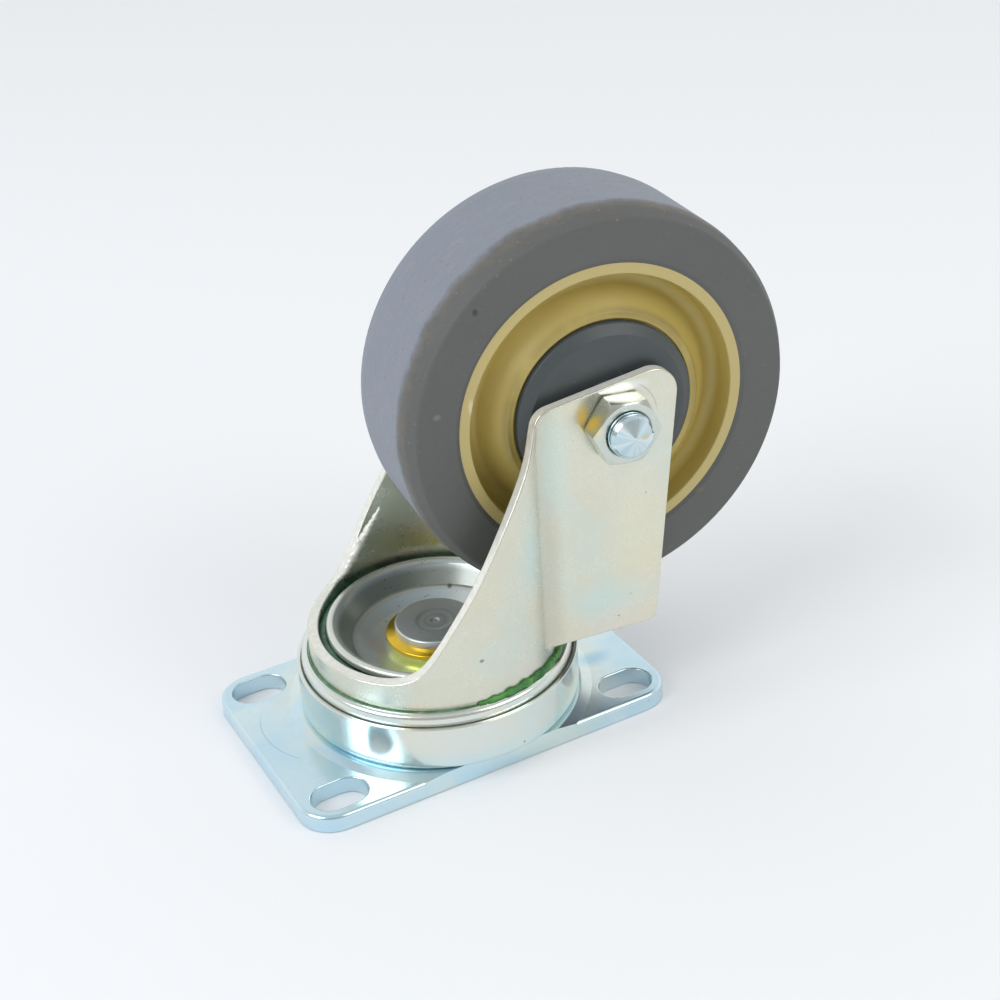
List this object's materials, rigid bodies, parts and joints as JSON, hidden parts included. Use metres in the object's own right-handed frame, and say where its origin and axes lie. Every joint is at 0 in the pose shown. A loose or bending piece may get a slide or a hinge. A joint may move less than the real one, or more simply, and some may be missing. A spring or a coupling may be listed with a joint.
{
  "type": "swivel castor",
  "caption": "Swivel castor: a slotted mounting plate carries a double ball raceway, a pressed yoke and a tyred wheel on an axle bolt.",
  "frame": {"origin": "centre of the four-slot pattern on the plate's mounting face, on the swivel axis", "axes": "+Z from the mounting face towards the wheel, +X along the plate's long side, which the slots follow, +Y along its short side"},
  "size_m": [0.1282, 0.0681, 0.1196],
  "materials": {
    "plate_zinc": "bright bluish zinc plate",
    "race_zinc": "bright zinc plate with a warm cast",
    "yoke_zinc": "zinc plate with a yellowish cast",
    "bowl_steel": "plain drawn steel",
    "gold_zinc": "yellow chromate over zinc",
    "dark_steel": "dark steel rivet head",
    "ball_steel": "polished ball steel",
    "fastener_zinc": "bright zinc fasteners",
    "guard_plastic": "dark slate plastic",
    "core_plastic": "tan olive plastic",
    "tyre_rubber": "grey rubber"
  },
  "bodies": {
    "base": {"mounting_plate": "plate_zinc", "outer_cup": "race_zinc", "shoulder_ring": "race_zinc", "race_spacer": "bowl_steel", "bowl_race": "bowl_steel", "clamp_collar": "gold_zinc", "kingpin_washer": "gold_zinc", "kingpin": "dark_steel"},
    "fork": {"yoke": "yoke_zinc", "axle_bolt": "fastener_zinc", "lock_nut": "fastener_zinc", "axle_sleeve": "fastener_zinc", "near_thread_guard": "guard_plastic", "far_thread_guard": "guard_plastic", "near_inner_race": "ball_steel", "far_inner_race": "ball_steel"},
    "wheel": {"wheel_core": "core_plastic", "tyre": "tyre_rubber", "near_outer_race": "ball_steel", "far_outer_race": "ball_steel"},
    "lower_ball_row": {"lower_balls": "ball_steel"},
    "upper_ball_row": {"upper_balls": "ball_steel"},
    "wheel_ball_rows": {"near_bearing_balls": "ball_steel", "far_bearing_balls": "ball_steel"}
  },
  "joints": [
    {"name": "swivel", "type": "hinge", "parent": "base", "child": "fork", "pos_m": [0, 0, 0.012], "axis": [0, 0, 1], "continuous": true},
    {"name": "wheel_spin", "type": "hinge", "parent": "fork", "child": "wheel", "pos_m": [0.03636, -0.00414, 0.0747], "axis": [-0.1132, -0.9936, 0], "continuous": true},
    {"name": "lower_ball_roll", "type": "hinge", "parent": "base", "child": "lower_ball_row", "pos_m": [0, 0, 0.007], "axis": [0, 0, 1], "continuous": true},
    {"name": "upper_ball_roll", "type": "hinge", "parent": "base", "child": "upper_ball_row", "pos_m": [0, 0, 0.014], "axis": [0, 0, 1], "continuous": true},
    {"name": "wheel_ball_roll", "type": "hinge", "parent": "fork", "child": "wheel_ball_rows", "pos_m": [0.03636, -0.00414, 0.0747], "axis": [-0.1132, -0.9936, 0], "continuous": true}
  ],
  "couplings": [
    {"joint": "lower_ball_roll", "follows": "swivel", "ratio": 0.5},
    {"joint": "upper_ball_roll", "follows": "swivel", "ratio": 0.5},
    {"joint": "wheel_ball_roll", "follows": "wheel_spin", "ratio": 0.618}
  ]
}
